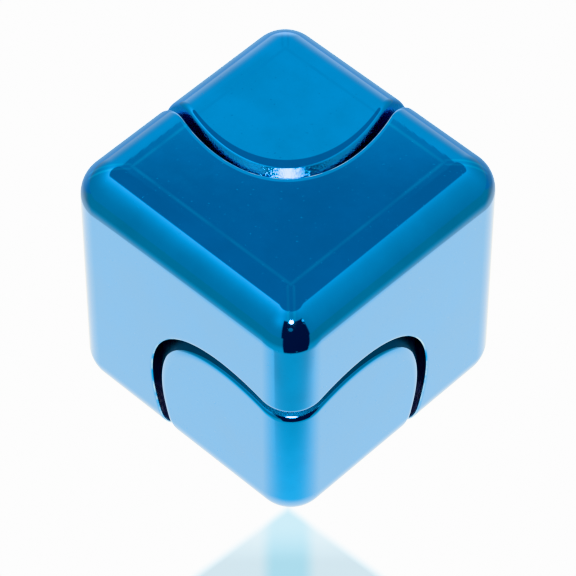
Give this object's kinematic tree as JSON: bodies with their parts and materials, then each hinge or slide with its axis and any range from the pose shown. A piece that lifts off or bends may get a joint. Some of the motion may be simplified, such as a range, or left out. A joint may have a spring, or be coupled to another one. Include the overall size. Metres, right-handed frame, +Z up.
{
  "type": "spinner cube",
  "caption": "Rounded metal fidget cube whose body spins about its diagonal on a ball bearing, between the corner caps that finger and thumb hold.",
  "frame": {"origin": "centre of the cube's bottom face", "axes": "+Z up; the spin axis runs from the lower cap's corner (+X, -Y, bottom) to the upper cap's corner (-X, +Y, top)"},
  "size_m": [0.03, 0.03, 0.03],
  "materials": {
    "plated_body": "polished",
    "plated_caps": "polished",
    "hub_casting": "satin",
    "bearing_steel": "polished",
    "ball_steel": "polished",
    "pressed_steel": "satin",
    "dark_steel": "satin"
  },
  "bodies": {
    "holder": {"upper_cap_shell": "plated_caps", "lower_cap_shell": "plated_caps", "upper_cap_hub": "hub_casting", "lower_cap_hub": "hub_casting", "upper_cap_screw_1": "dark_steel", "upper_cap_screw_2": "dark_steel", "upper_cap_screw_3": "dark_steel", "lower_cap_screw_1": "dark_steel", "lower_cap_screw_2": "dark_steel", "lower_cap_screw_3": "dark_steel", "axle": "bearing_steel", "upper_spacer": "bearing_steel", "lower_spacer": "bearing_steel", "bearing_inner_ring": "bearing_steel"},
    "spinner": {"cube_body": "plated_body", "bearing_outer_ring": "bearing_steel", "upper_bearing_shield": "pressed_steel", "lower_bearing_shield": "pressed_steel", "bearing_retaining_ring": "dark_steel"},
    "ball_cage": {"bearing_cage": "pressed_steel", "bearing_ball_1": "ball_steel", "bearing_ball_2": "ball_steel", "bearing_ball_3": "ball_steel", "bearing_ball_4": "ball_steel", "bearing_ball_5": "ball_steel", "bearing_ball_6": "ball_steel", "bearing_ball_7": "ball_steel"}
  },
  "joints": [
    {"name": "body_spin", "type": "hinge", "parent": "holder", "child": "spinner", "pos_m": [0, 0, 0.015], "axis": [-0.5774, 0.5774, 0.5774], "continuous": true},
    {"name": "cage_spin", "type": "hinge", "parent": "holder", "child": "ball_cage", "pos_m": [0, 0, 0.015], "axis": [-0.5774, 0.5774, 0.5774], "continuous": true}
  ],
  "couplings": [
    {"joint": "cage_spin", "follows": "body_spin", "ratio": 0.6323}
  ]
}
